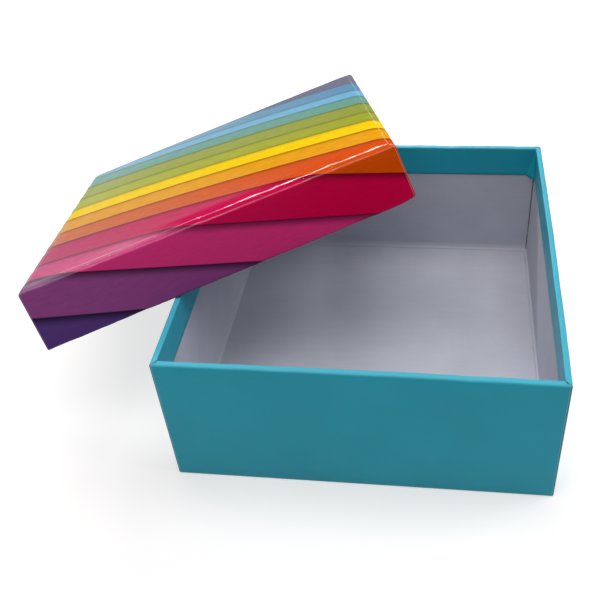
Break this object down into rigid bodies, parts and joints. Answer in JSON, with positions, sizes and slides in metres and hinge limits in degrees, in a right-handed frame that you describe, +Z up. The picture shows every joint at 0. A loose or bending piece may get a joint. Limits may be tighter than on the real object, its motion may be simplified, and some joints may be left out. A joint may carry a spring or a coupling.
{
  "type": "cardboard box",
  "caption": "Square rigid gift box of wrapped board: an open tray, and a shallow striped lift-off lid lying askew across its rims.",
  "frame": {"origin": "centre of the tray's underside", "axes": "+Z up out of the tray, +X to the tray's right, the tray's front towards -Y"},
  "size_m": [0.2429, 0.2177, 0.1149],
  "materials": {
    "grey_board": "matt uncoated grey-white board",
    "blue_green_paper": "satin laminated paper",
    "striped_paper": "gloss laminated printed paper",
    "stay_paper": "gummed kraft paper"
  },
  "bodies": {
    "base": {"base_board": "grey_board", "base_wrap": "blue_green_paper", "base_corner_stay_1": "stay_paper", "base_corner_stay_2": "stay_paper", "base_corner_stay_3": "stay_paper", "base_corner_stay_4": "stay_paper"},
    "lid": {"lid_board": "grey_board", "lid_wrap": "striped_paper", "lid_corner_stay_1": "stay_paper", "lid_corner_stay_2": "stay_paper", "lid_corner_stay_3": "stay_paper", "lid_corner_stay_4": "stay_paper"}
  },
  "joints": [
    {"name": "lid_lift", "type": "slide", "parent": "base", "child": "lid", "axis": [0, 0, 1], "range_m": [0, 0.09]}
  ]
}
